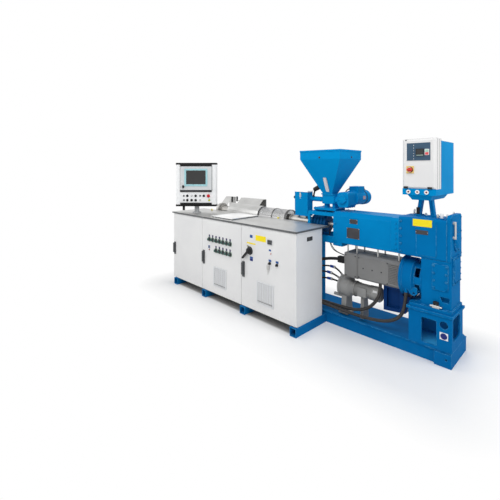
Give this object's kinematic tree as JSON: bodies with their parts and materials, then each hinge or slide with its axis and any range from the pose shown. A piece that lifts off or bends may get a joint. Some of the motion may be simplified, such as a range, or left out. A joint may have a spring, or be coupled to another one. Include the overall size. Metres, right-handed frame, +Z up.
{
  "type": "plastic extruder",
  "caption": "Plastic extruder on a welded base: screw barrel under guards, hopper with dosing feeder, gearbox, motor, vacuum pump, cabinet, swivelling console and control box.",
  "frame": {"origin": "on the floor, straight under the screw axis, at the cross tube nearest the gearbox end of the cabinet", "axes": "+X runs along the screw from the die to the gearbox, +Z is up, and the operator stands on the -Y side"},
  "size_m": [3.591, 1.2038, 1.962],
  "materials": {
    "blue_paint": "gloss machine enamel",
    "dark_blue_paint": "gloss machine enamel",
    "white_paint": "fine textured powder coat",
    "console_paint": "satin powder coat",
    "stainless": "brushed",
    "machined_steel": "machined",
    "dark_straps": "satin",
    "motor_grey": "satin",
    "black_plastic": "moulded",
    "post_grey": "satin",
    "conduit_grey": "corrugated",
    "black_rubber": "smooth"
  },
  "bodies": {
    "frame": {"barrel": "machined_steel", "barrel_cover": "stainless", "barrel_supports": "blue_paint", "base_frame": "blue_paint", "cabinet_back": "white_paint", "cabinet_floor": "white_paint", "cabinet_walls": "white_paint", "conduit_front": "conduit_grey", "conduit_rear": "conduit_grey", "console_post": "post_grey", "control_box": "blue_paint", "control_panel": "white_paint", "control_stand": "dark_blue_paint", "coupling_bell": "blue_paint", "cover_plate": "stainless", "cross_tubes": "blue_paint", "dosing_housing": "blue_paint", "feed_cylinder": "blue_paint", "feed_plate": "blue_paint", "feeder_gearbox": "blue_paint", "feeder_motor": "blue_paint", "gearbox_covers": "blue_paint", "gearbox_fittings": "machined_steel", "gearbox_lower": "blue_paint", "gearbox_upper": "blue_paint", "guard_bands": "dark_straps", "heater_guards": "stainless", "hopper": "blue_paint", "hopper_lid": "blue_paint", "hose_lower": "black_rubber", "hose_middle": "black_rubber", "hose_upper": "black_rubber", "inlet_box": "blue_paint", "long_housing": "blue_paint", "main_motor": "motor_grey", "motor_bracket": "dark_blue_paint", "motor_studs": "machined_steel", "pedestal": "blue_paint", "power_lead": "black_rubber", "pump_motor": "motor_grey", "rear_deck": "console_paint", "rear_guard": "stainless", "screw_shaft": "machined_steel", "sensor_lead_left": "black_rubber", "sensor_lead_right": "black_rubber", "table_top": "stainless", "terminal_box": "motor_grey", "vacuum_pump": "motor_grey"},
    "door_left": {"door_left": "white_paint", "fittings_left": "black_plastic"},
    "door_middle": {"door_middle": "white_paint", "fittings_middle": "black_plastic"},
    "door_right": {"door_right": "white_paint", "fittings_right": "black_plastic"},
    "switch_lever": {"switch_lever": "black_plastic"},
    "inlet_lid": {"inlet_lid": "blue_paint"},
    "console": {"console_case": "console_paint", "console_bars": "black_plastic", "console_panels": "console_paint"}
  },
  "joints": [
    {"name": "left_door_hinge", "type": "hinge", "parent": "frame", "child": "door_left", "pos_m": [-1.56, -0.7, 0.566], "axis": [0, 0, 1], "range_deg": [0, 110]},
    {"name": "middle_door_hinge", "type": "hinge", "parent": "frame", "child": "door_middle", "pos_m": [-0.785, -0.7, 0.566], "axis": [0, 0, 1], "range_deg": [0, 110]},
    {"name": "right_door_hinge", "type": "hinge", "parent": "frame", "child": "door_right", "pos_m": [0.03, -0.7, 0.566], "axis": [0, 0, 1], "range_deg": [0, 110]},
    {"name": "main_switch", "type": "hinge", "parent": "door_right", "child": "switch_lever", "pos_m": [-0.638, -0.714, 0.757], "axis": [0, 1, 0], "range_deg": [0, 90]},
    {"name": "inlet_lid_hinge", "type": "hinge", "parent": "frame", "child": "inlet_lid", "pos_m": [-0.38, 0.028, 1.4144], "axis": [-1, 0, 0], "range_deg": [0, 100]},
    {"name": "console_swivel", "type": "hinge", "parent": "frame", "child": "console", "pos_m": [-1.92, -0.53, 1.159], "axis": [0, 0, 1], "range_deg": [-60, 60]}
  ]
}
